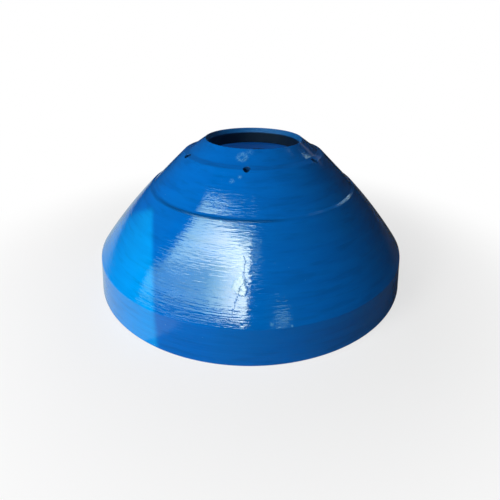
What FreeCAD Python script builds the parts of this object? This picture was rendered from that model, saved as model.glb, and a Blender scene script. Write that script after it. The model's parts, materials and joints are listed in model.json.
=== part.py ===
import FreeCAD, Part
import math
import os

import Sketcher

# Cone crusher mantle: the wearing cone that sits over a crusher's head, cast in manganese steel
# in one piece. +Z is the crusher's axis and the origin is the centre of the foot, so the mantle
# stands on z = 0 with its bore upwards. Every length is in millimetres.

SIZES = [
    # outer form, from the foot up
    ("foot_radius", 840, "outer radius at the foot"),
    ("band_height", 170, "height of the plain band round the foot"),
    ("band_draft_deg", 5.4, "lean of the band towards the axis, in degrees"),
    ("face_radius", 2600, "radius that the crushing face bulges to, along its slope"),
    ("step_radius", 548, "upper edge of the crushing face, where it stands proud"),
    ("step_height", 495, "height of that edge above the foot"),
    ("step_land", 15, "radial width of the step's sloping land"),
    ("step_rise", 7, "height of the step's land"),
    ("ledge_width", 32, "radial width of the ledge below the collar"),
    ("ledge_fall", 10, "fall of the ledge towards its outer edge, the shoulder"),
    ("collar_width", 82, "radial width of the collar's slope, from the rim to the ledge"),
    ("collar_height", 58, "height of the collar above the ledge"),
    ("total_height", 730, "height of the rim's corner above the foot"),
    # bore and rim
    ("bore_radius", 242.5, "bore that passes over the head's neck"),
    ("bore_length", 61, "length of the straight bore"),
    ("bevel_width", 13.5, "radial width of the bevel that the locking nut's ring seats on"),
    ("bevel_height", 24, "height of that bevel"),
    # inner form, from the foot up
    ("foot_land", 45, "width of the flat foot ring"),
    ("skirt_height", 45, "height of the skirt that hangs below the head"),
    ("skirt_relief", 8, "radial narrowing of the hollow over the skirt"),
    ("seat_height", 120, "height of the machined cone that seats on the head"),
    ("seat_angle_deg", 49.7, "slope of that cone from the level, in degrees"),
    ("relief_depth", 13, "radial depth of the space for backing compound"),
    ("relief_ramp", 10, "height of the ramp from the seat into that space"),
    ("throat_width", 69.5, "radial width of the shelf between the backing space and the bore"),
    ("throat_drop", 27, "fall of that shelf from the bore's lower edge"),
    # pouring holes through the shoulder
    ("hole_radius", 16, "pouring hole"),
    ("hole_count", 6, "pouring holes in the ring"),
    ("hole_inset", 8, "from the shoulder in to the holes' pitch circle"),
    # edges: the machined ones are broken with a bevel, the cast ones are round
    ("foot_bevel", 4, "bevel on the outer edge of the foot"),
    ("rim_bevel", 2, "bevel on the rim and on the lower end of the bore"),
    ("hole_bevel", 1.5, "bevel on the upper edges of the pouring holes"),
    ("step_round", 2, "edge of the step"),
    ("cast_round", 5, "cast edges of the band and the shoulder"),
    ("step_fillet", 10, "hollow at the head of the step"),
    ("collar_fillet", 9, "hollow at the foot of the collar"),
    ("throat_fillet", 22, "hollow at the top of the backing space"),
]

# What several corners share, built up from the axis outwards and from the rim downwards.
RIM = "Sizes.bore_radius + Sizes.bevel_width"
SHOULDER = f"{RIM} + Sizes.collar_width + Sizes.ledge_width"
LEDGE = "Sizes.total_height - Sizes.collar_height"
BORE_END = "Sizes.total_height - Sizes.bevel_height - Sizes.bore_length"
SEAT_FOOT = "Sizes.foot_radius - Sizes.foot_land - Sizes.skirt_relief"
SEAT_SLOPE = "tan(Sizes.seat_angle_deg * 1 deg)"

# Corners of the half section in the order that the outline runs: up the outside, down through
# the bore and out along the hollow. Each is a name, a radius, a height and the size of its round;
# the corners with no round are machined.
SECTION = [
    ("foot", "Sizes.foot_radius", "0", None),
    ("band_top", "Sizes.foot_radius - Sizes.band_height * tan(Sizes.band_draft_deg * 1 deg)",
     "Sizes.band_height", "cast_round"),
    ("step_edge", "Sizes.step_radius", "Sizes.step_height", "step_round"),
    ("step_head", "Sizes.step_radius - Sizes.step_land", "Sizes.step_height + Sizes.step_rise",
     "step_fillet"),
    ("shoulder", SHOULDER, f"{LEDGE} - Sizes.ledge_fall", "cast_round"),
    ("collar_foot", f"{RIM} + Sizes.collar_width", LEDGE, "collar_fillet"),
    ("rim", RIM, "Sizes.total_height", None),
    ("bore_top", "Sizes.bore_radius", "Sizes.total_height - Sizes.bevel_height", None),
    ("bore_bottom", "Sizes.bore_radius", BORE_END, None),
    ("throat", "Sizes.bore_radius + Sizes.throat_width", f"{BORE_END} - Sizes.throat_drop",
     "throat_fillet"),
    ("relief_foot",
     f"{SEAT_FOOT} + Sizes.relief_depth - (Sizes.seat_height + Sizes.relief_ramp) / {SEAT_SLOPE}",
     "Sizes.skirt_height + Sizes.seat_height + Sizes.relief_ramp", None),
    ("seat_top", f"{SEAT_FOOT} - Sizes.seat_height / {SEAT_SLOPE}",
     "Sizes.skirt_height + Sizes.seat_height", None),
    ("seat_bottom", SEAT_FOOT, "Sizes.skirt_height", None),
    ("foot_inside", "Sizes.foot_radius - Sizes.foot_land", "0", None),
]

# Bevels that break the machined edges: a name, a size and the corners that they run round at.
BEVELS = [
    ("FootBevel", "foot_bevel", ["foot"]),
    ("RimBevels", "rim_bevel", ["rim", "bore_bottom"]),
]

FACE = "band_top"  # the corner that the crushing face starts from

doc = FreeCAD.newDocument("mantle")


def make_sheet():
    """One row for each driving size: its name, its value and what it is."""
    sheet = doc.addObject("Spreadsheet::Sheet", "Sizes")
    for row, (alias, value, note) in enumerate(SIZES, start=1):
        sheet.set(f"A{row}", alias)
        sheet.set(f"B{row}", str(value))
        sheet.set(f"C{row}", note)
        sheet.setAlias(f"B{row}", alias)
    doc.recompute()
    return sheet


def number(expression):
    """What an expression comes to, as a plain number."""
    result = sheet.evalExpression(expression)
    return float(getattr(result, "Value", result))


def origin_feature(body, role):
    """The body's own plane or axis of that role."""
    return next(f for f in body.Origin.OriginFeatures if f.Role == role)


def new_sketch(body, name, plane):
    sketch = body.newObject("Sketcher::SketchObject", name)
    sketch.AttachmentSupport = [(origin_feature(body, plane), "")]
    sketch.MapMode = "FlatFace"
    return sketch


def bind(sketch, kind, arguments, name, expression):
    """Adds one dimension to a sketch and ties it to the sheet."""
    index = sketch.addConstraint(Sketcher.Constraint(kind, *arguments, number(expression)))
    sketch.renameConstraint(index, name)
    sketch.setExpression(f"Constraints.{name}", expression)


def bulged_edge(start, end, radius):
    """An arc from start to end that bulges away from the axis."""
    chord = end - start
    middle = (start + end) * 0.5
    outward = FreeCAD.Vector(chord.y, -chord.x, 0).normalize()
    to_centre = math.sqrt(radius**2 - (chord.Length / 2) ** 2)
    top = middle + outward * (radius - to_centre)
    return Part.Arc(start, top, end)


def draw_sides(sketch, points):
    """One side from each corner to the next, all straight but the crushing face."""
    for index, start in enumerate(points):
        end = points[(index + 1) % len(points)]
        if SECTION[index][0] == FACE:
            side = bulged_edge(start, end, number("Sizes.face_radius"))
        else:
            side = Part.LineSegment(start, end)
        sketch.addGeometry(side, False)


def end_at(sketch, side, corner):
    """Which end of a side is at a corner: 1 for its start, 2 for its end."""
    return min((1, 2), key=lambda end: (sketch.getPoint(side, end) - corner).Length)


def point_beside(sketch, side, corner, reach):
    """The point of a side that lies about so far from its end at a corner."""
    curve = sketch.Geometry[side]
    far_end = sketch.getPoint(side, 3 - end_at(sketch, side, corner))
    return curve.value(curve.parameter(corner + (far_end - corner).normalize() * reach))


def round_corner(sketch, before, after, corner, size):
    """An arc tangent to both sides of a corner, which stays in the sketch as a point."""
    radius = number(f"Sizes.{size}")
    beside = [point_beside(sketch, side, corner, radius) for side in (before, after)]
    sketch.fillet(before, after, *beside, radius, True, False)
    arc = sketch.GeometryCount - 1
    point = sketch.addGeometry(Part.Point(corner), True)
    for side in (before, after):
        sketch.addConstraint(Sketcher.Constraint("PointOnObject", point, 1, side))
    return arc, point


def draw_section(body):
    """The half section on the XZ plane, each corner placed by the sheet."""
    sketch = new_sketch(body, "Section", "XZ_Plane")
    points = [FreeCAD.Vector(number(r), number(height), 0) for _, r, height, _ in SECTION]
    draw_sides(sketch, points)
    for index, (name, radius, height, size) in enumerate(SECTION):
        before = (index - 1) % len(points)
        corner = points[index]
        if size:
            arc, point = round_corner(sketch, before, index, corner, size)
            bind(sketch, "Radius", (arc,), f"{name}_round", f"Sizes.{size}")
            place = (point, 1)
        else:
            place = (index, end_at(sketch, index, corner))
            joint = (before, end_at(sketch, before, corner))
            sketch.addConstraint(Sketcher.Constraint("Coincident", *joint, *place))
        bind(sketch, "DistanceX", (-1, 1, *place), f"{name}_radius", radius)
        if height == "0":
            sketch.addConstraint(Sketcher.Constraint("PointOnObject", *place, -1))
        else:
            bind(sketch, "DistanceY", (-1, 1, *place), f"{name}_height", height)
    face = [name for name, *_ in SECTION].index(FACE)
    bind(sketch, "Radius", (face,), "face_bulge", "Sizes.face_radius")
    doc.recompute()
    if not sketch.FullyConstrained:
        raise RuntimeError("the section is not fully constrained")
    return sketch


def revolve_section(body, sketch):
    casting = body.newObject("PartDesign::Revolution", "Casting")
    casting.Profile = sketch
    casting.ReferenceAxis = (sketch, ["V_Axis"])
    casting.Angle = 360
    body.Tip = casting
    doc.recompute()


def ring_edges(shape, corners):
    """Names of the circular edges of a shape that run round at those corners of the section."""
    wanted = [(number(r), number(height)) for name, r, height, _ in SECTION if name in corners]
    found = []
    for index, edge in enumerate(shape.Edges, start=1):
        if not isinstance(edge.Curve, Part.Circle):
            continue
        ring = (edge.Curve.Radius, edge.Curve.Center.z)
        if any(math.dist(ring, corner) < 1e-4 for corner in wanted):
            found.append(f"Edge{index}")
    if len(found) != len(corners):
        raise RuntimeError(f"{corners}: found {found}")
    return found


def bevel(body, name, size, edges):
    """A chamfer along those edges of the body's last shape."""
    base = body.Tip
    chamfer = body.newObject("PartDesign::Chamfer", name)
    chamfer.Base = (base, edges)
    chamfer.setExpression("Size", f"Sizes.{size}")
    body.Tip = chamfer
    doc.recompute()


def drill_holes(body):
    """The ring of pouring holes, drilled straight down through the shoulder's edge."""
    sketch = new_sketch(body, "HolePlace", "XY_Plane")
    sketch.AttachmentOffset = FreeCAD.Placement(
        FreeCAD.Vector(0, 0, number("Sizes.total_height")), FreeCAD.Rotation()
    )
    sketch.setExpression("AttachmentOffset.Base.z", "Sizes.total_height")
    pitch_radius = f"{SHOULDER} - Sizes.hole_inset"
    centre = FreeCAD.Vector(0, -number(pitch_radius), 0)
    sketch.addGeometry(
        Part.Circle(centre, FreeCAD.Vector(0, 0, 1), number("Sizes.hole_radius")), False
    )
    sketch.addConstraint(Sketcher.Constraint("PointOnObject", 0, 3, -2))
    bind(sketch, "DistanceY", (0, 3, -1, 1), "pitch_radius", pitch_radius)
    bind(sketch, "Radius", (0,), "hole_radius", "Sizes.hole_radius")
    doc.recompute()
    hole = body.newObject("PartDesign::Pocket", "PouringHole")
    hole.Profile = sketch
    hole.Type = "ThroughAll"
    hole.Refine = False
    body.Tip = hole
    doc.recompute()
    ring = body.newObject("PartDesign::PolarPattern", "PouringHoles")
    ring.Originals = [hole]
    ring.Axis = (origin_feature(body, "Z_Axis"), [""])
    ring.Angle = 360
    ring.Occurrences = int(number("Sizes.hole_count"))
    ring.setExpression("Occurrences", "Sizes.hole_count")
    ring.Refine = False
    body.Tip = ring
    doc.recompute()
    return ring


def hole_walls(shape):
    """The walls of the pouring holes, one upright cylinder for each."""
    size = number("Sizes.hole_radius")
    return [
        face for face in shape.Faces
        if isinstance(face.Surface, Part.Cylinder) and abs(face.Surface.Radius - size) < 1e-6
    ]


def mouth_edges(shape):
    """Names of the edges where the pouring holes open in the ledge and the cone below it."""
    sides = [
        side for wall in hole_walls(shape) for side in wall.Edges
        if side.CenterOfMass.z > wall.CenterOfMass.z and not isinstance(side.Curve, Part.Line)
    ]
    return [
        f"Edge{index}" for index, edge in enumerate(shape.Edges, start=1)
        if any(edge.isSame(side) for side in sides)
    ]


sheet = make_sheet()
mantle = doc.addObject("PartDesign::Body", "Mantle")
mantle.Label = "mantle"
revolve_section(mantle, draw_section(mantle))
for name, size, corners in BEVELS:
    bevel(mantle, name, size, ring_edges(mantle.Tip.Shape, corners))
undrilled_volume = mantle.Tip.Shape.Volume
ring = drill_holes(mantle)
if ring.Shape.Volume >= undrilled_volume or len(hole_walls(ring.Shape)) != number("Sizes.hole_count"):
    raise RuntimeError("the pouring holes did not all cut")
bevel(mantle, "HoleBevels", "hole_bevel", mouth_edges(mantle.Tip.Shape))
mantle.Placement = FreeCAD.Placement(FreeCAD.Vector(0, 0, 0), FreeCAD.Rotation())
doc.recompute()

for item in doc.Objects:
    if "Invalid" in item.State or "Error" in item.State:
        raise RuntimeError(f"{item.Name} failed: {item.State}")
if mantle.Shape.isNull() or not mantle.Shape.isValid() or len(mantle.Shape.Solids) != 1:
    raise RuntimeError("the mantle is not one sound solid")

os.makedirs("parts", exist_ok=True)
mantle.Shape.exportStep(f"parts/{mantle.Label}.step")
print(f"{mantle.Label}: volume {mantle.Shape.Volume / 1e9:.4f} m3")
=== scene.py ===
import json
import math

import bpy
import numpy as np
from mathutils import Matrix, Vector


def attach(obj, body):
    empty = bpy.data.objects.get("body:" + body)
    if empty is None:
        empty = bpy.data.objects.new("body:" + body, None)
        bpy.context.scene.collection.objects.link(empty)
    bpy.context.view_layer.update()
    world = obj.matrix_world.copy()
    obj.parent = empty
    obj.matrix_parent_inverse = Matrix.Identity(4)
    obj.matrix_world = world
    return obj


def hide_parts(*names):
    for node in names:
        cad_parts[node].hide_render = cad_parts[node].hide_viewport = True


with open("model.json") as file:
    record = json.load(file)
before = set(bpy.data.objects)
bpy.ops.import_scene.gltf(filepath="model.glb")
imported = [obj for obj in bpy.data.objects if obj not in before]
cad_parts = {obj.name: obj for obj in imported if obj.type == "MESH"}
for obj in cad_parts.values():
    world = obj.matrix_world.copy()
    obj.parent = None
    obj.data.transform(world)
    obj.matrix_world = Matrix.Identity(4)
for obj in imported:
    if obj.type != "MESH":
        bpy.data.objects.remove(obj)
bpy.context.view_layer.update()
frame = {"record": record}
mounts = {mount["name"]: mount for mount in frame["record"]["mounts"]}
bore, holes = mounts["bore"]["dims"], mounts["pouring_holes"]["dims"]
rng = np.random.default_rng(5)

# the mantle's half section and holes, in metres; the record gives the bore and the holes
mantleSizes = {
    # the outside, from the foot to the rim
    "footRadius": 0.840, "footBevel": 0.004, "bandHeight": 0.170, "bandTopRadius": 0.82393,
    "faceRadius": 2.600, "stepRadius": 0.548, "stepHeight": 0.495, "stepLand": 0.015,
    "stepRise": 0.007, "shoulderRadius": 0.370, "shoulderHeight": 0.662, "ledgeWidth": 0.032,
    "ledgeHeight": 0.672, "rimRadius": 0.256, "rimHeight": 0.730, "rimBevel": 0.002,
    # the inside, from the bore down to the foot
    "boreRadius": bore["r_mm"] / 1000, "boreTop": 0.706, "boreEnd": 0.645,
    "throatRadius": 0.312, "throatHeight": 0.618, "reliefRadius": 0.6898, "reliefHeight": 0.175,
    "seatTopRadius": 0.6852, "seatTop": 0.165, "seatRadius": 0.787, "seatHeight": 0.045,
    "footInside": 0.795,
    # the rounds on the corners
    "castRound": 0.005, "stepRound": 0.0022, "stepFillet": 0.010, "collarFillet": 0.009,
    "throatFillet": 0.022, "bevelRound": 0.0015, "edgeRound": 0.0009,
    # the holes, and the window in the rows and columns that each one's own rings fill
    "holeRadius": holes["hole_r_mm"] / 1000, "pitchRadius": holes["pcd_mm"] / 2000,
    "holeCount": holes["count"], "holeLip": 0.0016,
    "windowIn": 0.022, "windowOut": 0.0255, "windowSide": 0.030, "windowSlack": 0.004,
    "ringShares": (0.8, 0.55, 0.32, 0.14), "lipSteps": 3, "wallSteps": 7,
    # how far apart the rows are, how many columns go round, and how finely curves are divided
    "outsideRows": 0.0044, "insideRows": 0.019, "columns": 264, "facePoints": 48, "arcTurn": 0.24,
}

# the coat's own relief and marks, in metres, with angles in degrees from the front hole to +X
coatMarks = {
    "meanRadius": 0.62, "fadeAtEnds": 0.012,
    "waveHeight": 0.00026, "waveWidth": 0.11, "waveLength": 0.17,
    "strokeHeight": 0.00007, "strokeWidth": 0.030, "strokeLength": 0.34,
    "ridgeHeight": 0.00003, "ridgeWidth": 0.0085, "ridgeLength": 0.16,
    # the lap: its line, its ends, its width and height, and how the columns crowd towards it
    "lapMiddle": 0.0145, "lapLevel": 0.28, "lapLean": 0.30, "lapBow": 2.2, "lapEdge": 0.0034,
    "lapFoot": 0.188, "lapTop": 0.385, "lapEnds": 0.01, "lapWidth": 0.0045, "lapRise": 0.00016,
    "lapRadius": 0.72, "lapCrowding": 3.5, "lapSpread": 6.0,
    # sines of the height: how far each makes the lap wander, radians a metre, phase; and the
    # share of its rise that comes and goes
    "lapWander": [(0.003, 95, 0), (0.002, 310, 1)], "lapThins": 0.35, "lapSwells": [(210, 2), (67, 0)],
    # the blob of thick paint beside the lap, and the sines round its edge: how much, turns, phase
    "blobAngle": 1.1, "blobHeight": 0.297, "blobAcross": 0.030, "blobAlong": 0.0304,
    "blobLean": 0.25, "blobRise": 0.00035, "blobEdge": (0.78, 1.0),
    "blobWavers": [(0.14, 3, 1), (0.07, 7, 0)],
    # where the near-black bore, the darker rim and the painted shade in the crease under the step's
    # edge start and end, the last as shares of the step's land, then how that painted shade
    # weakens to the right and on the far left
    "boreEase": (0.0015, -0.0015), "rimEase": (0.001, -0.002), "stepShadeEase": (0.40, 0.75),
    "stepShadeRight": (0.35, 0.0, 0.25), "stepShadeLeft": (-1.0, -0.5, 0.4),
    # each smudge: angle, radius, height, its ring's own radius, how wide it fades, how strong
    "smudges": [
        (-5.4, 0.298, 0.7005, 0.018, 0.022, 0.6), (1.2, 0.272, 0.719, 0.0, 0.034, 0.4),
        (-3.8, 0.396, 0.6366, 0.0, 0.016, 0.7), (-8.4, 0.412, 0.6209, 0.0, 0.022, 0.6),
        (-9.2, 0.553, 0.4905, 0.0, 0.012, 0.7), (2.0, 0.820, 0.1759, 0.0, 0.010, 1.0),
        (10.3, 0.8127, 0.186, 0.0, 0.014, 0.8), (15.8, 0.8214, 0.174, 0.0, 0.008, 1.0),
    ],
}


def smooth(low, high, value):
    # the cubic 3t^2 - 2t^3 that eases from 0 at low to 1 at high
    t = np.clip((value - low) / (high - low), 0, 1)
    return t * t * (3 - 2 * t)


def along(start, end, distance):
    # the point that far from start on the way to end
    start, end = np.array(start, float), np.array(end, float)
    return start + (end - start) * distance / np.linalg.norm(end - start)


def bulgedFace(s):
    # points inside the arc of the face's radius from the band's top to the step's edge:
    # the chord plus an outward rise of sqrt(R^2 - x^2) - sqrt(R^2 - c^2), x from its middle
    start = np.array([s["bandTopRadius"], s["bandHeight"]])
    chord = np.array([s["stepRadius"], s["stepHeight"]]) - start
    length = np.linalg.norm(chord)
    outward = np.array([chord[1], -chord[0]]) / length
    part = np.arange(1, s["facePoints"])[:, None] / s["facePoints"]
    x = (part - 0.5) * length
    rise = np.sqrt(s["faceRadius"] ** 2 - x ** 2) - math.sqrt(s["faceRadius"] ** 2 - length ** 2 / 4)
    return start + chord * part + outward * rise


def outlineCorners(s):
    # corners (radius, height, round, spacing of the side that follows) once round the half
    # section; the crushing face is an arc, so it gives a run of corners with no round
    rim, bevel = (s["rimRadius"], s["rimHeight"]), s["rimBevel"]
    ledgeEnd = (s["shoulderRadius"] - s["ledgeWidth"], s["ledgeHeight"])
    boreIn = along((s["boreRadius"], s["boreEnd"]), (s["throatRadius"], s["throatHeight"]), bevel)
    lean = (s["footRadius"] - s["bandTopRadius"]) / s["bandHeight"]
    out, inside, edge = s["outsideRows"], s["insideRows"], s["edgeRound"]
    return [
        (s["footRadius"] - s["footBevel"], 0, edge, out),
        (s["footRadius"] - s["footBevel"] * lean, s["footBevel"], s["bevelRound"], out),
        (s["bandTopRadius"], s["bandHeight"], s["castRound"], out),
        *[(radius, height, 0, out) for radius, height in bulgedFace(s)],
        (s["stepRadius"], s["stepHeight"], s["stepRound"], out),
        (s["stepRadius"] - s["stepLand"], s["stepHeight"] + s["stepRise"], s["stepFillet"], out),
        (s["shoulderRadius"], s["shoulderHeight"], s["castRound"], out),
        (*ledgeEnd, s["collarFillet"], out),
        (*along(rim, ledgeEnd, bevel), edge, out),
        (*along(rim, (s["boreRadius"], s["boreTop"]), bevel), edge, out),
        (s["boreRadius"], s["boreTop"], edge, out * 2),
        (s["boreRadius"], s["boreEnd"] + bevel, edge, out),
        (*boreIn, edge, inside),
        (s["throatRadius"], s["throatHeight"], s["throatFillet"], inside),
        (s["reliefRadius"], s["reliefHeight"], edge, inside),
        (s["seatTopRadius"], s["seatTop"], edge, inside),
        (s["seatRadius"], s["seatHeight"], edge, inside),
        (s["footInside"], 0, edge, inside),
    ]


def roundedOutline(corners, arcTurn):
    # each corner becomes an arc tangent to its two sides, centred on their bisector at
    # round / sin(half angle); the straight between two arcs is divided evenly
    points = np.array([corner[:2] for corner in corners], float)
    arcs = []
    for index, (_, _, size, _) in enumerate(corners):
        corner = points[index]
        if size == 0:
            arcs.append(corner[None])
            continue
        back = points[index - 1] - corner
        ahead = points[(index + 1) % len(points)] - corner
        back, ahead = back / np.linalg.norm(back), ahead / np.linalg.norm(ahead)
        half = math.acos(np.clip(back @ ahead, -1, 1)) / 2
        centre = corner + (back + ahead) / np.linalg.norm(back + ahead) * size / math.sin(half)
        first = corner + back * size / math.tan(half) - centre
        last = corner + ahead * size / math.tan(half) - centre
        start = math.atan2(first[1], first[0])
        turn = (math.atan2(last[1], last[0]) - start + math.pi) % (2 * math.pi) - math.pi
        steps = max(2, math.ceil(abs(turn) / arcTurn))
        angle = start + turn * np.arange(steps + 1) / steps
        arcs.append(centre + size * np.stack([np.cos(angle), np.sin(angle)], 1))
    outline = []
    for index, arc in enumerate(arcs):
        following = arcs[(index + 1) % len(arcs)][0]
        gap = np.linalg.norm(following - arc[-1])
        steps = max(1, round(gap / corners[index][3]))
        part = np.arange(1, steps)[:, None] / steps
        outline += [arc, arc[-1] + (following - arc[-1]) * part]
    return np.concatenate(outline)


def matchedRows(outline, s):
    # the hollow's rows at the holes take the same radii as the outer rows there, so that the
    # windows cut for a hole have as many sides above as below
    radius, order = outline[:, 0], np.arange(len(outline))
    top = int(np.argmax(outline[:, 1]))
    low, high = s["pitchRadius"] - s["windowIn"], s["pitchRadius"] + s["windowOut"]
    slack = s["windowSlack"]
    outer = np.flatnonzero((radius > low) & (radius < high) & (order < top))
    inner = np.flatnonzero((radius > low - slack) & (radius < high + slack)
                           & (order > top) & (outline[:, 1] > s["reliefHeight"]))
    wanted = radius[outer][::-1]
    before, after = outline[inner[0] - 1], outline[inner[-1] + 1]
    height = np.interp(wanted, [before[0], after[0]], [before[1], after[1]])
    rows = np.concatenate([outline[:inner[0]], np.stack([wanted, height], 1),
                           outline[inner[-1] + 1:]])
    return rows, outer, inner[0] + np.arange(len(wanted))


def outlineWay(rows):
    # how far along the outline each row is, and its outward normal: the mean way of the two
    # sides that meet there, turned a quarter clockwise
    step = np.roll(rows, -1, 0) - rows
    length = np.linalg.norm(step, axis=1)
    tangent = step / length[:, None]
    tangent = tangent + np.roll(tangent, 1, 0)
    normal = np.stack([tangent[:, 1], -tangent[:, 0]], 1)
    reach = np.concatenate([[0], np.cumsum(length)[:-1]])
    return reach, normal / np.linalg.norm(normal, axis=1)[:, None]


def columnAngles(s, marks):
    # evenly spread in the running total of 1 + crowding * exp(-(angle / spread)^2), so the
    # columns crowd towards the lap; angle 0 is on -Y and grows towards +X
    fine = np.linspace(-math.pi, math.pi, 20001)
    away = (fine - marks["lapMiddle"] / marks["lapRadius"]) / math.radians(marks["lapSpread"])
    density = 1 + marks["lapCrowding"] * np.exp(-away ** 2)
    total = np.concatenate([[0], np.cumsum((density[1:] + density[:-1]) / 2)])
    return np.interp(np.arange(s["columns"]) / s["columns"] * total[-1], total, fine)


def valueNoise(turns, rows, cells, thickness):
    # random heights on a table of cells, each row of it turned by its own amount, blended
    # between neighbours by the cubic 3t^2 - 2t^3; turns is 0 to 1 round the axis
    table = rng.uniform(-1, 1, (int(rows.max() / thickness) + 3, cells))
    shift = rng.uniform(0, 1, len(table))
    row = np.clip(rows / thickness, 0, len(table) - 2)
    low = row.astype(int)
    up = (row - low) ** 2 * (3 - 2 * (row - low))
    level = []
    for index in (low, low + 1):
        column = (turns + shift[index]) * cells
        left = np.floor(column).astype(int)
        part = (column - left) ** 2 * (3 - 2 * (column - left))
        level.append(table[index, left % cells] * (1 - part) + table[index, (left + 1) % cells] * part)
    return level[0] * (1 - up) + level[1] * up


def coatBlob(angle, height, radius, marks):
    # 1 inside a leaning oval, 0 outside it; sines of the heading from its middle make its edge
    # waver: they are added to the distance that decides
    across = (angle - math.radians(marks["blobAngle"])) * radius / marks["blobAcross"]
    up = (height - marks["blobHeight"]) / marks["blobAlong"]
    distance = np.hypot(across + marks["blobLean"] * up, up)
    for share, turns, phase in marks["blobWavers"]:
        distance = distance + share * np.sin(turns * np.arctan2(up, across) + phase)
    return 1 - smooth(*marks["blobEdge"], distance)


def coatLap(angle, height, radius, marks):
    # a ridge exp(-(x / width)^2) high, x from the bowed line middle + lean * (z - level)
    # - bow * (z - level)^2 with its wandering sines, times 1 less the share that comes and goes
    up, ends = height - marks["lapLevel"], marks["lapEnds"]
    line = marks["lapMiddle"] + marks["lapLean"] * up - marks["lapBow"] * up ** 2
    sideways = radius * np.sin(angle) - line
    for sway, pace, phase in marks["lapWander"]:
        sideways = sideways + sway * np.sin(height * pace + phase)
    swell = math.prod(np.sin(height * pace + phase) for pace, phase in marks["lapSwells"])
    ragged = 1 - marks["lapThins"] * (1 - swell)
    share = smooth(marks["lapFoot"] - ends, marks["lapFoot"] + ends, height) * (np.cos(angle) > 0)
    share = share * (1 - smooth(marks["lapTop"] - ends, marks["lapTop"] + ends, height))
    return ragged * share * np.exp(-(sideways / marks["lapWidth"]) ** 2)


def coatRelief(angle, reach, height, radius, marks, outsideReach):
    # the coat's height over the casting: waves, brush strokes and ridges that run round, less
    # their own peaks so that nothing stands proud, plus the lap and the blob on it
    turns = angle / (2 * math.pi) % 1
    around = 2 * math.pi * marks["meanRadius"]
    relief = 0
    for kind in ("wave", "stroke", "ridge"):
        noise = valueNoise(turns, reach, round(around / marks[kind + "Length"]), marks[kind + "Width"])
        relief = relief + marks[kind + "Height"] * (noise - 1)
    relief += marks["lapRise"] * coatLap(angle, height, radius, marks)
    relief += marks["blobRise"] * coatBlob(angle, height, radius, marks)
    fade = marks["fadeAtEnds"]
    return relief * smooth(0.0, fade, reach) * (1 - smooth(outsideReach - fade, outsideReach, reach))


def planSpots(angle, radius):
    # places in plan (radius sin angle, -radius cos angle): angles run from -Y towards +X
    return np.stack([radius * np.sin(angle), -radius * np.cos(angle)], -1)


def windowColumns(angles, holeAngle, halfWidth):
    # the run of columns that just covers a hole's window, wrapping past the last column
    away = (angles - holeAngle + math.pi) % (2 * math.pi) - math.pi
    first = int(np.argmax(np.where(away <= -halfWidth, away, -9)))
    last = int(np.argmin(np.where(away >= halfWidth, away, 9)))
    return (first + np.arange((last - first) % len(angles) + 1)) % len(angles)


def windowLoop(rows, columns, gridColumns):
    # grid points once round a window, anticlockwise from above: rows run from the widest
    # radius to the narrowest, columns the way the angle grows
    wide, narrow = rows[0], rows[-1]
    return np.concatenate([
        wide * gridColumns + columns[:-1], rows[:-1] * gridColumns + columns[-1],
        narrow * gridColumns + columns[:0:-1], rows[:0:-1] * gridColumns + columns[0],
    ])


def ringFaces(rings):
    # quads from each ring of points to the next, closed round
    rings = np.array(rings)
    first, second = rings[:-1], rings[1:]
    quads = np.stack([first, np.roll(first, -1, 1), np.roll(second, -1, 1), second], -1)
    return quads.reshape(-1, 4)


def addPoints(store, **values):
    # puts a ring's values at the end of each list, and gives its points' numbers
    first = sum(len(part) for part in store["angle"])
    for name, part in values.items():
        store[name].append(part)
    return first + np.arange(len(values["angle"]))


def cutHole(s, form, store, holeAngle):
    # one hole through the wall, as rings of quads: in from the window's edge to the circle, over
    # its lip (outwards by 1 - cos while it drops by 1 - sin), down its wall and out inside
    rows, angles = form["rows"], form["angles"]
    across = windowColumns(angles, holeAngle, s["windowSide"] / s["pitchRadius"])
    for window in (form["outer"], form["inner"]):
        form["keep"][np.ix_(np.arange(window[0], window[-1]), across[:-1])] = False
    upper = windowLoop(form["outer"], across, len(angles))
    lower = windowLoop(form["inner"][::-1], across, len(angles))
    centre = planSpots(holeAngle, s["pitchRadius"])
    edge = planSpots(store["angle"][0][upper], store["radius"][0][upper]) - centre
    heading = edge / np.linalg.norm(edge, axis=1)[:, None]
    quarter = np.linspace(math.pi / 2, 0, s["lipSteps"] + 1)
    circles = s["holeRadius"] + s["holeLip"] * (1 - np.cos(quarter))
    drops = [0.0] * len(s["ringShares"]) + list(s["holeLip"] * (1 - np.sin(quarter)))
    widest = heading * circles[0]
    plans = [widest + (edge - widest) * share for share in s["ringShares"]]
    plans += [heading * size for size in circles]
    sides = []
    for windowRows, sign in ((form["outer"][::-1], -1), (form["inner"], 1)):
        rings = []
        for plan, drop in zip(plans, drops):
            spot = plan + centre
            radius = np.hypot(spot[:, 0], spot[:, 1])
            height, reach, leanOut, leanUp = (
                np.interp(radius, rows[windowRows, 0], values[windowRows])
                for values in (rows[:, 1], form["reach"], *form["normal"].T))
            rings.append(addPoints(
                store, angle=np.arctan2(spot[:, 0], -spot[:, 1]), radius=radius,
                height=height + sign * drop, reach=reach, lean=np.stack([leanOut, leanUp], 1),
                coated=np.full(len(radius), float(sign < 0 and drop == 0))))
        sides.append(rings)
    wallTop, wallFoot = store["height"][-len(plans) - 1], store["height"][-1]
    foot = {name: parts[-1] for name, parts in store.items()}
    wall = []
    for part in np.linspace(0, 1, s["wallSteps"] + 1)[1:-1]:
        wall.append(addPoints(store, **{**foot, "height": wallTop + (wallFoot - wallTop) * part}))
    return ringFaces([upper, *sides[0], *wall, *sides[1][::-1], lower])


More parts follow.
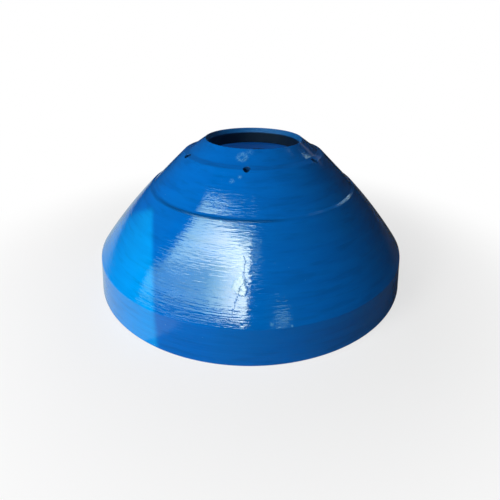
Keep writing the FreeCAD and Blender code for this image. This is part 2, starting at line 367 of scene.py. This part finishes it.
def paintMasks(s, marks, points, top, drilled):
    # how much each point belongs to each kind of place: 1 on it, easing to 0 beside it
    angle, radius, height, coated = (points[name] for name in ("angle", "radius", "height", "coated"))
    boreFrom, boreTo = (s["boreTop"] + ease for ease in marks["boreEase"])
    bore = smooth(boreFrom, boreTo, height) * (radius < s["boreRadius"] + 0.003)
    rimFrom, rimTo = (s["rimRadius"] + ease for ease in marks["rimEase"])
    # the corner mask is painted shade: it darkens the crease under the step's edge, weaker to the right and
    # on the far left
    off = np.hypot(radius - s["stepRadius"] + 0.001, height - s["stepHeight"]) / s["stepLand"]
    corner = (1 - smooth(*marks["stepShadeEase"], off)) * coated
    for value, (*ease, least) in ((np.sin(angle - 0.1), marks["stepShadeRight"]),
                                  (angle, marks["stepShadeLeft"])):
        corner = corner * (least + (1 - least) * smooth(*ease, value))
    return {
        "bore": bore,
        "hollow": (points["reach"] > top) & (height < s["boreEnd"] + 0.001),
        "drilled": drilled & (coated == 0),
        "corner": corner,
        # the blob mask carries a painted highlight: a pale tint over the raised blob
        "blob": coatBlob(angle, height, radius, marks) * coated,
        "rim": smooth(rimFrom, rimTo, radius) * (1 - bore),
    }


def buildMantle(s, marks):
    # the outline turned round the axis, a point for each row and column, and the holes cut in
    # it; the coat then moves each point along its row's normal by its relief
    rows, outer, inner = matchedRows(roundedOutline(outlineCorners(s), s["arcTurn"]), s)
    reach, normal = outlineWay(rows)
    angles = columnAngles(s, marks)
    count, columns, top = len(rows), len(angles), int(np.argmax(rows[:, 1]))
    form = {"rows": rows, "reach": reach, "normal": normal, "angles": angles, "outer": outer,
            "inner": inner, "keep": np.ones((count, columns), bool)}
    onRows = {"reach": reach, "radius": rows[:, 0], "height": rows[:, 1], "lean": normal,
              "coated": (np.arange(count) < top).astype(float)}
    store = {name: [np.repeat(values, columns, 0)] for name, values in onRows.items()}
    store["angle"] = [np.tile(angles, count)]
    holeFaces = [cutHole(s, form, store, 2 * math.pi * index / s["holeCount"])
                 for index in range(s["holeCount"])]

    row, column = np.meshgrid(np.arange(count), np.arange(columns), indexing="ij")
    nextRow, nextColumn = (row + 1) % count, (column + 1) % columns
    grid = np.stack([row * columns + column, row * columns + nextColumn,
                     nextRow * columns + nextColumn, nextRow * columns + column], -1)
    kept, faces = np.unique(np.concatenate([grid[form["keep"]], *holeFaces]), return_inverse=True)
    faces = faces.reshape(-1, 4)
    points = {name: np.concatenate(parts) for name, parts in store.items()}
    angle, radius, lean = points["angle"], points["radius"], points["lean"]
    relief = coatRelief(angle, points["reach"], points["height"], radius, marks, reach[top])
    relief = relief * points["coated"]
    places = np.column_stack([
        planSpots(angle, radius + lean[:, 0] * relief), points["height"] + lean[:, 1] * relief])

    mesh = bpy.data.meshes.new("painted_mantle")
    mesh.from_pydata(places[kept], [], faces)
    mesh.polygons.foreach_set("use_smooth", np.ones(len(faces), bool))
    flow = np.column_stack([np.sin(angle), -np.cos(angle), points["reach"]])[kept]
    mesh.attributes.new("flow", "FLOAT_VECTOR", "POINT").data.foreach_set("vector", flow.ravel())
    drilled = np.arange(len(angle)) >= count * columns
    for name, values in paintMasks(s, marks, points, reach[top], drilled).items():
        mask = mesh.attributes.new(name, "FLOAT", "POINT")
        mask.data.foreach_set("value", values[kept].astype(float))
    mesh.update()
    piece = bpy.data.objects.new("painted_mantle", mesh)
    bpy.context.scene.collection.objects.link(piece)
    print("mantle:", len(faces) * 2, "triangles,", count, "rows,", columns, "columns")
    return piece


def linear(code):
    # an sRGB hex value turned linear
    values = [int(code[i:i + 2], 16) / 255 for i in (1, 3, 5)]
    return tuple(v / 12.92 if v <= 0.04045 else ((v + 0.055) / 1.055) ** 2.4 for v in values) + (1.0,)


# settings that many nodes share
eased, mixed = {"interpolation_type": "SMOOTHSTEP"}, {"data_type": "RGBA"}
plus, minus, times, over, most, unsigned, timesPlus = (
    {"operation": name} for name in (
        "ADD", "SUBTRACT", "MULTIPLY", "DIVIDE", "MAXIMUM", "ABSOLUTE", "MULTIPLY_ADD"))


def addNode(tree, kind, settings=None, inputs=()):
    # one node, its settings, and its inputs in order or by name: each is a value, the socket
    # that feeds it, or the node whose first open output does
    node = tree.nodes.new("ShaderNode" + kind)
    for name, value in (settings or {}).items():
        setattr(node, name, value)
    for name, value in inputs.items() if isinstance(inputs, dict) else enumerate(inputs):
        if isinstance(value, bpy.types.Node):
            value = next(socket for socket in value.outputs if socket.enabled)
        if isinstance(value, bpy.types.NodeSocket):
            tree.links.new(value, node.inputs[name])
        else:
            node.inputs[name].default_value = value
    return node


def newMaterial(name):
    # a material with an empty node tree
    material = bpy.data.materials.new(name)
    material.use_nodes = True
    material.node_tree.nodes.clear()
    return material, material.node_tree


brushedEnamel = {
    "colour": "#0065BE", "ior": 1.5, "bumpDistance": 0.0013,
    # patterns brushed round the cone: length and width in metres, detail, roughness and shift;
    # the real bristle lines are under 1 mm wide, drawn coarser here so that they show
    "brushed": {
        "strokes": (0.30, 0.030, 3.0, 0.6, 0.0), "ridges": (0.20, 0.0080, 2.0, 0.5, 7.0),
        "bristles": (0.07, 0.0030, 1.0, 0.5, 13.0), "dabs": (0.030, 0.0075, 1.0, 0.5, 19.0),
        "thin": (0.16, 0.022, 2.0, 0.6, 31.0),
    },
    # patterns that run no way: size in metres and detail
    "even": {"grain": (0.010, 3.0), "clouds": (0.25, 2.0)},
    # tints in order: what drives each, where it comes in, how strong it gets, its colour
    "tints": [
        ("strokes", 0.3, 0.7, 1.0, "#006BC6"), ("clouds", 0.45, 0.75, 0.35, "#0468B6"),
        # the corner tint is painted shade, a darker blue in the crease under the step's edge
        ("thin", 0.5, 0.72, 0.45, "#0059A6"), ("corner", 0, 1, 0.75, "#00467F"),
        # the blob itself is real raised paint; its pale blue tint is a painted highlight on it
        ("blob", 0, 1, 0.9, "#6A92C4"), ("rim", 0, 1, 1, "#004E8C"),
        ("hollow", 0, 1, 1, "#0058A8"), ("bore", 0, 1, 1, "#071424"),
        ("drilled", 0, 1, 1, "#0A3868"), ("smudges", 0, 1, 1, "#5AA4D6"),
    ],
    # roughness across the ridges' noise, what the strokes' noise adds, and what places add
    "roughness": (0.3, 0.7, 0.05, 0.10), "strokesAdd": (0.45, 0.8, 0.0, 0.08),
    "placesAdd": {"rim": 0.6, "corner": 0.2, "hollow": 0.35, "bore": 0.3},
    "relief": {"ridges": 0.45, "bristles": 0.10, "dabs": 0.40, "grain": 0.08},
    # a dry stretch of brushing beyond the lap: extra dabs, and the edges it fades at by axis
    "dryDabs": 0.7,
    "dryEdges": [("X", 0.02, 0.05, 0.0, 1.0), ("X", 0.12, 0.20, 1.0, 0.0),
                 ("Y", -0.4, -0.3, 1.0, 0.0), ("Z", 0.30, 0.36, 0.25, 0.9)],
    # where the brushing is calmer above the step and near the shoulder: from, to, share left
    "calmer": [(0.49, 0.50, 0.8), (0.565, 0.60, 0.3)],
    # specks: the cell each sits in, its edge as shares of that, which cells have one, how strong
    "speckCell": 0.055, "speckEdge": (0.022, 0.034), "speckPick": (0.55, 0.75), "speckShare": 0.8,
    "smudgeGrain": 0.007, "smudgeWorn": (0.28, 0.6),
    # the lap's torn edge: its shaking's grain in metres and the sway that its noise gives, how
    # it comes and goes, and the front that it stays on
    "lapGrain": 0.020, "lapSway": (0.25, 0.75, -0.009, 0.009), "lapWorn": (0.35, 0.6, 0.12, 0.32),
    "lapFront": (-0.3, -0.2, 1.0, 0.0),
}


def paintNoise(tree, flow, around, thickness, detail, rough, shift):
    # noise on the coat: around is its length round the cone at the mean radius, thickness its
    # width up the slope, both in metres
    turned = coatMarks["meanRadius"] / around
    scaled = addNode(tree, "Mapping", inputs={
        "Vector": flow, "Location": (shift, shift, shift), "Scale": (turned, turned, 1 / thickness)})
    noise = addNode(tree, "TexNoise", inputs={
        "Vector": scaled, "Scale": 1.0, "Detail": detail, "Roughness": rough})
    return noise.outputs["Fac"]


def lapRidge(tree, place, marks, s):
    # the torn edge where one coat of brushing stops against the next: a thin ridge on the
    # bowed line x = middle + lean * (z - level) - bow * (z - level)^2, shaken by noise
    spot, ends = addNode(tree, "SeparateXYZ", inputs=[place]), marks["lapEnds"]
    shake = addNode(tree, "TexNoise", inputs={"Vector": place, "Scale": 1 / s["lapGrain"], "Detail": 3.0})
    up = addNode(tree, "Math", minus, [spot.outputs["Z"], marks["lapLevel"]])
    bow = addNode(tree, "Math", timesPlus, [up, -marks["lapBow"], marks["lapLean"]])
    line = addNode(tree, "Math", timesPlus, [up, bow, marks["lapMiddle"]])
    shaken = addNode(tree, "MapRange", eased, [shake.outputs["Fac"], *s["lapSway"]])
    aside = addNode(tree, "Math", plus, [addNode(tree, "Math", minus, [spot.outputs["X"], line]), shaken])
    ridge = addNode(tree, "MapRange", eased, [
        addNode(tree, "Math", unsigned, [aside]), 0.0, marks["lapEdge"], 1.0, 0.0])
    for value, *fade in (
            (spot.outputs["Z"], marks["lapFoot"] - ends, marks["lapFoot"] + ends, 0.0, 1.0),
            (spot.outputs["Z"], marks["lapTop"] - ends, marks["lapTop"] + ends, 1.0, 0.0),
            (shake.outputs["Fac"], *s["lapWorn"]), (spot.outputs["Y"], *s["lapFront"])):
        share = addNode(tree, "MapRange", eased, [value, *fade])
        ridge = addNode(tree, "Math", times, [ridge, share])
    return ridge


def smudges(tree, place, marks, s):
    # pale specks under 2 mm, and the marks listed: each a spot, or a ring of its size
    cells = addNode(tree, "TexVoronoi", inputs={"Vector": place, "Scale": 1 / s["speckCell"]})
    pick = addNode(tree, "SeparateXYZ", inputs=[cells.outputs["Color"]])
    small = addNode(tree, "MapRange", eased, [cells.outputs["Distance"], *s["speckEdge"], 1.0, 0.0])
    few = addNode(tree, "MapRange", eased, [pick.outputs["X"], *s["speckPick"], 0.0, s["speckShare"]])
    total = addNode(tree, "Math", times, [small, few])
    worn = addNode(tree, "TexNoise", inputs={"Vector": place, "Scale": 1 / s["smudgeGrain"], "Detail": 3.0})
    patchy = addNode(tree, "MapRange", eased, [worn.outputs["Fac"], *s["smudgeWorn"]])
    for turn, radius, height, size, width, share in marks["smudges"]:
        spot = (*planSpots(math.radians(turn), radius), height)
        away = addNode(tree, "VectorMath", {"operation": "DISTANCE"}, [place, spot])
        off = addNode(tree, "Math", unsigned, [addNode(tree, "Math", minus, [away, size])])
        mark = addNode(tree, "MapRange", eased, [off, 0.0, width, share, 0.0])
        mark = addNode(tree, "Math", times, [mark, patchy])
        total = addNode(tree, "Math", most, [total, mark])
    return total


def enamelOnCasting(s, marks):
    # alkyd enamel put on by brush over a rough manganese steel casting: a deep even blue with
    # a wet gloss, drawn out in fine ridges round the cone, thin and dull inside
    material, tree = newMaterial("brushed_blue_enamel")
    flow = addNode(tree, "Attribute", {"attribute_name": "flow"}).outputs["Vector"]
    place = addNode(tree, "TexCoord").outputs["Object"]
    spot = addNode(tree, "SeparateXYZ", inputs=[place])
    drive = {name: addNode(tree, "Attribute", {"attribute_name": name}).outputs["Fac"]
             for name in ("bore", "hollow", "drilled", "corner", "blob", "rim")}
    for name, values in s["brushed"].items():
        drive[name] = paintNoise(tree, flow, *values)
    for name, (size, detail) in s["even"].items():
        noise = addNode(tree, "TexNoise", inputs={"Vector": place, "Scale": 1 / size, "Detail": detail})
        drive[name] = noise.outputs["Fac"]
    drive["smudges"] = smudges(tree, place, marks, s)

    blue = linear(s["colour"])
    for name, low, high, full, colour in s["tints"]:
        share = addNode(tree, "MapRange", eased, [drive[name], low, high, 0.0, full])
        blue = addNode(tree, "Mix", mixed, {0: share, 6: blue, 7: linear(colour)})

    gloss = addNode(tree, "MapRange", eased, [drive["ridges"], *s["roughness"]])
    duller = addNode(tree, "MapRange", eased, [drive["strokes"], *s["strokesAdd"]])
    gloss = addNode(tree, "Math", plus, [gloss, duller])
    for name, share in s["placesAdd"].items():
        gloss = addNode(tree, "Math", timesPlus, [drive[name], share, gloss])

    relief = 0.0
    for name, share in s["relief"].items():
        relief = addNode(tree, "Math", timesPlus, [drive[name], share, relief])
    dry = addNode(tree, "Math", times, [drive["dabs"], s["dryDabs"]])
    for axis, *fade in s["dryEdges"]:
        share = addNode(tree, "MapRange", eased, [spot.outputs[axis], *fade])
        dry = addNode(tree, "Math", times, [dry, share])
    relief = addNode(tree, "Math", plus, [relief, dry])
    for low, high, left in s["calmer"]:
        share = addNode(tree, "MapRange", eased, [spot.outputs["Z"], low, high, 1.0, left])
        relief = addNode(tree, "Math", times, [relief, share])
    relief = addNode(tree, "Math", plus, [relief, lapRidge(tree, place, marks, s)])
    bump = addNode(tree, "Bump", inputs={
        "Height": relief, "Strength": 1.0, "Distance": s["bumpDistance"]})
    shader = addNode(tree, "BsdfPrincipled", inputs={
        "Base Color": blue, "Roughness": gloss, "IOR": s["ior"], "Normal": bump})
    addNode(tree, "OutputMaterial", inputs={"Surface": shader})
    print("enamel:", len(tree.nodes), "nodes")
    return material


# how bright the floor and the world are to matt surfaces, to glossy ones and to the camera, and
# how far from the axis the floor starts and ends its lift to white, and its lift nearer in
studio = {
    "floor": 0.5, "floorInGloss": 0.15, "floorToCamera": 0.8, "floorSize": 80,
    "liftFrom": 0.9, "liftTo": 2.0, "liftNear": 0.7,
    "world": 0.04, "worldInGloss": 0.03, "worldToCamera": 1.0,
}


def buildFloor(s):
    # matt pale board; to the camera it lifts to white away from the mantle, its shadow stays
    bpy.ops.mesh.primitive_plane_add(size=s["floorSize"])
    floor = bpy.context.object
    floor.name = "floor"
    material, tree = newMaterial("pale_floor")
    rays = addNode(tree, "LightPath")
    place = addNode(tree, "TexCoord").outputs["Object"]
    away = addNode(tree, "VectorMath", {"operation": "LENGTH"}, {0: place}).outputs["Value"]
    rise = addNode(tree, "MapRange", eased, [away, s["liftFrom"], s["liftTo"], s["liftNear"], 1.0])
    lifted = addNode(tree, "Math", times, [rays.outputs["Is Camera Ray"], rise])
    pale = (s["floor"], s["floor"], s["floor"], 1)
    for seen, level in (("Is Camera Ray", s["floorToCamera"]), ("Is Glossy Ray", s["floorInGloss"])):
        pale = addNode(tree, "Mix", mixed, {0: rays.outputs[seen], 6: pale, 7: (level, level, level, 1)})
    matt = addNode(tree, "BsdfDiffuse", inputs={"Color": pale})
    lift = addNode(tree, "Emission", inputs={"Color": (1, 1, 1, 1), "Strength": 1.0})
    both = addNode(tree, "MixShader", inputs=[lifted, matt, lift])
    addNode(tree, "OutputMaterial", inputs={"Surface": both})
    floor.data.materials.append(material)


def buildWorld(s):
    # a dim even sky to matt and glossy surfaces, and a white one to the camera
    world = bpy.data.worlds.new("studio")
    bpy.context.scene.world = world
    world.use_nodes = True
    tree = world.node_tree
    tree.nodes.clear()
    rays = addNode(tree, "LightPath")
    seen = addNode(tree, "Math", most, [rays.outputs["Is Camera Ray"], rays.outputs["Is Transmission Ray"]])
    level = (s["world"], s["world"], s["world"], 1)
    for share, seenAs in ((rays.outputs["Is Glossy Ray"], s["worldInGloss"]), (seen, s["worldToCamera"])):
        level = addNode(tree, "Mix", mixed, {0: share, 6: level, 7: (seenAs, seenAs, seenAs, 1)})
    background = addNode(tree, "Background", inputs={"Color": level, "Strength": 1.0})
    addNode(tree, "OutputWorld", inputs={"Surface": background})


def facing(azimuth, distance, across, height):
    # a place on the upright plane that stands that far off and faces the mantle from azimuth,
    # which runs from -Y towards +X
    turn = math.radians(azimuth)
    return (distance * math.sin(turn) + across * math.cos(turn),
            across * math.sin(turn) - distance * math.cos(turn), height)


# the broad screen, in metres across and up its own plane; each pair is where an edge eases
windowScreen = {
    "azimuth": -36.5, "distance": 5.0, "outline": ((-4.8, 0.9), (-4.8, 12.5), (6.15, 12.5), (6.15, 0.9)),
    "leftEdge": (-3.5, -2.7), "rightEdge": (3.7, 4.0), "topEdge": (7.1, 8.7), "topShare": 0.18,
    # its foot slopes, its lower corner is cut off, and its head slants
    "footSlant": 0.27, "footEdge": (2.4, 2.65), "cornerSlant": 1.1, "cornerEdge": (-2.2, -1.8),
    "slant": 0.45, "headEdge": (8.95, 9.55),
    # below a slanting line it is dim, but less so in a strip towards its right
    "dimEdge": (4.35, 4.95), "dimShare": 0.30, "stripEdge": (-2.2, 3.95), "stripShare": 0.82,
    # it reaches further left above wideEdge and below wideLow, and further right in a wing
    "wideEdge": (6.4, 7.4), "wideBy": 0.8, "lowEdge": (4.35, 4.75), "lowBy": 1.3,
    "wingFoot": (7.4, 7.8), "wingSide": (4.55, 6.05), "wingShare": 0.62,
    # brightness from left to right, what glossy and matt surfaces get of it, and its tints
    "across": (-3.5, 3.95), "levels": (4.3, 13.0), "inGloss": 1.85, "onMatt": 0.28,
    "tintFrom": (1.0, 10.0), "dimTint": "#C2FFD0", "brightTint": "#F2FFE6",
}


def buildWindow(s):
    # one soft screen whose strength is the product of the eased edges above
    turn = math.radians(s["azimuth"])
    corners = [facing(s["azimuth"], s["distance"], *corner) for corner in s["outline"]]
    mesh = bpy.data.meshes.new("window_screen")
    mesh.from_pydata(corners, [], [(0, 1, 2, 3)])
    screen = bpy.data.objects.new("window_screen", mesh)
    bpy.context.scene.collection.objects.link(screen)
    screen.visible_camera = False
    material, tree = newMaterial("lit_screen")
    place = addNode(tree, "TexCoord").outputs["Object"]
    wayAcross = (math.cos(turn), math.sin(turn), 0)
    across = addNode(tree, "VectorMath", {"operation": "DOT_PRODUCT"}, [place, wayAcross]).outputs["Value"]
    height = addNode(tree, "SeparateXYZ", inputs=[place]).outputs["Z"]
    slanted, sloping, cornered = (
        addNode(tree, "Math", timesPlus, [across, slope, height])
        for slope in (-s["slant"], -s["footSlant"], s["cornerSlant"]))
    widened = across
    for value, edge, first, last in ((height, s["wideEdge"], 0.0, s["wideBy"]),
                                     (slanted, s["lowEdge"], s["lowBy"], 0.0)):
        more = addNode(tree, "MapRange", eased, [value, *edge, first, last])
        widened = addNode(tree, "Math", plus, [widened, more])
    wing = addNode(tree, "Math", times, [
        addNode(tree, "MapRange", eased, [height, *s["wingFoot"]]),
        addNode(tree, "MapRange", eased, [across, *s["wingSide"], s["wingShare"], 0.0])])
    side = addNode(tree, "MapRange", eased, [across, *s["rightEdge"], 1.0, 0.0])
    upper = addNode(tree, "MapRange", eased, [slanted, *s["dimEdge"], s["dimShare"], 1.0])
    strip = addNode(tree, "MapRange", eased, [across, *s["stripEdge"], 0.0, s["stripShare"]])
    strength = addNode(tree, "Math", times, [
        addNode(tree, "Math", most, [upper, strip]), addNode(tree, "Math", most, [wing, side])])
    back = addNode(tree, "NewGeometry").outputs["Backfacing"]
    glossy = addNode(tree, "LightPath").outputs["Is Glossy Ray"]
    for value, edge, first, last in (
            (back, (0.0, 1.0), 1.0, 0.0), (across, s["across"], *s["levels"]),
            (sloping, s["footEdge"], 0.0, 1.0), (cornered, s["cornerEdge"], 0.0, 1.0),
            (height, s["topEdge"], 1.0, s["topShare"]), (slanted, s["headEdge"], 1.0, 0.0),
            (widened, s["leftEdge"], 0.0, 1.0)):
        share = addNode(tree, "MapRange", eased, [value, *edge, first, last])
        strength = addNode(tree, "Math", times, [strength, share])
    bright = addNode(tree, "MapRange", eased, [strength, *s["tintFrom"]])
    tint = addNode(tree, "Mix", mixed, {0: bright, 6: linear(s["dimTint"]), 7: linear(s["brightTint"])})
    tint = addNode(tree, "Mix", mixed, {0: glossy, 6: linear("#FFFFFF"), 7: tint})
    share = addNode(tree, "MapRange", None, [glossy, 0.0, 1.0, s["onMatt"], s["inGloss"]])
    strength = addNode(tree, "Math", times, [strength, share])
    glow = addNode(tree, "Emission", inputs={"Color": tint, "Strength": strength})
    addNode(tree, "OutputMaterial", inputs={"Surface": glow})
    mesh.materials.append(material)


# soft panels: where each stands, its turn (90 upright, 180 flat and shining up; lean; azimuth),
# size across and up, radiance and tint, and whether gloss shows it and matt surfaces get it
softPanels = {
    "low_strip": {"place": facing(24, 5, 0, 2.5), "turn": (90, 0, 24), "size": (0.7, 0.4),
                  "radiance": 4.5, "tint": "#C2FFD0", "inGloss": True, "onMatt": True},
    "back_panel": {"place": facing(146, 5, 0, 2.55), "turn": (90, 0, 146), "size": (2.4, 0.5),
                   "radiance": 0.28, "tint": "#ECE4DC", "inGloss": True, "onMatt": True},
    "slant_strip": {"place": facing(138, 5.3, 0, 3.4), "turn": (90, -22, 138), "size": (0.36, 1.9),
                    "radiance": 3.2, "tint": "#C0ECF0", "inGloss": True, "onMatt": False},
    "high_strip": {"place": facing(131.5, 5.3, 0, 7.4), "turn": (90, 0, 131.5), "size": (0.3, 2.2),
                   "radiance": 1.0, "tint": "#C0ECF0", "inGloss": True, "onMatt": False},
    "floor_card": {"place": (-2.4, 0, 0.002), "turn": (180, 0, 0), "size": (4.0, 5.0),
                   "radiance": 0.55, "tint": "#E4F8F4", "inGloss": True, "onMatt": False},
    "hollow_bounce": {"place": (0, 0, 0.01), "turn": (180, 0, 0), "size": (0.5, 0.5),
                      "radiance": 2.6, "tint": "#FFFFFF", "inGloss": False, "onMatt": True},
    "back_fill": {"place": facing(-175, 4, 0, 1.6), "turn": (90, 0, -175), "size": (2.0, 1.6),
                  "radiance": 5.0, "tint": "#FFFFFF", "inGloss": False, "onMatt": True},
    "side_key": {"place": facing(-42, 4, 0, 2.1), "turn": (90, 0, -42), "size": (1.6, 1.6),
                 "radiance": 18.5, "tint": "#FFFFFF", "inGloss": False, "onMatt": True},
}


def softLight(name, s):
    # a panel's power is radiance * pi * width * height
    data = bpy.data.lights.new(name, "AREA")
    data.shape = "RECTANGLE"
    data.size, data.size_y = s["size"]
    data.energy = s["radiance"] * math.pi * data.size * data.size_y
    data.color = linear(s["tint"])[:3]
    light = bpy.data.objects.new(name, data)
    light.location = s["place"]
    light.rotation_euler = [math.radians(v) for v in s["turn"]]
    light.visible_camera = False
    light.visible_glossy, light.visible_diffuse = s["inGloss"], s["onMatt"]
    bpy.context.scene.collection.objects.link(light)


# the beam's gates are slopes from its axis: where it ends to the right, above, and how softly
leftSun = {
    "place": (0.70, -4.35, 3.0), "aim": (-0.352, -0.690, 0.232), "spread": 24.0, "blend": 0.1,
    "right": 0.0, "top": 0.077, "edge": 0.0025, "lampRadius": 0.008, "colour": "#FFF0A8",
    "level": 2.2,
}


def buildSun(s, piece):
    # a warm beam that its gates cut off to the right and above, kept off the floor; its power
    # is 4 pi^2 * level * distance^2, so that level is what arrives where it is aimed
    data = bpy.data.lights.new("left_sun", "SPOT")
    data.spot_size, data.spot_blend = math.radians(s["spread"]), s["blend"]
    data.shadow_soft_size = s["lampRadius"]
    data.color = linear(s["colour"])[:3]
    place, aim = Vector(s["place"]), Vector(s["aim"])
    data.energy = s["level"] * 4 * math.pi ** 2 * (aim - place).length_squared
    data.use_nodes = True
    tree = data.node_tree
    tree.nodes.clear()
    way = addNode(tree, "SeparateXYZ", inputs=[addNode(tree, "TexCoord").outputs["Normal"]])
    ahead = addNode(tree, "Math", unsigned, [way.outputs["Z"]])
    strength = 1.0
    for axis, edge, soft in (("X", s["right"], s["edge"]), ("Y", s["top"], 2 * s["edge"])):
        slope = addNode(tree, "Math", over, [way.outputs[axis], ahead])
        gate = addNode(tree, "MapRange", eased, [slope, edge - soft, edge + soft, 1.0, 0.0])
        strength = addNode(tree, "Math", times, [strength, gate])
    glow = addNode(tree, "Emission", inputs={"Strength": strength})
    addNode(tree, "OutputLight", inputs={"Surface": glow})
    light = bpy.data.objects.new("left_sun", data)
    light.location = place
    light.rotation_euler = (aim - place).to_track_quat("-Z", "Y").to_euler()
    light.visible_glossy = False
    bpy.context.scene.collection.objects.link(light)
    lit = bpy.data.collections.new("lit_by_sun")
    lit.objects.link(piece)
    light.light_linking.receiver_collection = lit


# a wide lens held close: 1.9 m from the axis and 1.15 m up, looking down
cameraView = {
    "place": (0.1656, -1.8929, 1.1503), "turn": (67.59, -1.27, 3.29),
    "lens": 25.87, "sensor": 36, "shift": (-0.0328, -0.1),
}


def buildCamera(s):
    data = bpy.data.cameras.new("camera")
    data.lens, data.sensor_width = s["lens"], s["sensor"]
    data.shift_x, data.shift_y = s["shift"]
    camera = bpy.data.objects.new("camera", data)
    camera.location = s["place"]
    camera.rotation_euler = [math.radians(v) for v in s["turn"]]
    bpy.context.scene.collection.objects.link(camera)
    bpy.context.scene.camera = camera


paintedMantle = buildMantle(mantleSizes, coatMarks)
paintedMantle.data.materials.append(enamelOnCasting(brushedEnamel, coatMarks))
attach(paintedMantle, "root")
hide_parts("mantle")
buildFloor(studio)
buildWindow(windowScreen)
for panelName, panel in softPanels.items():
    softLight(panelName, panel)
buildSun(leftSun, paintedMantle)
buildWorld(studio)
buildCamera(cameraView)
bpy.context.scene.view_settings.view_transform = "Standard"
print("floor, lights and camera are set")
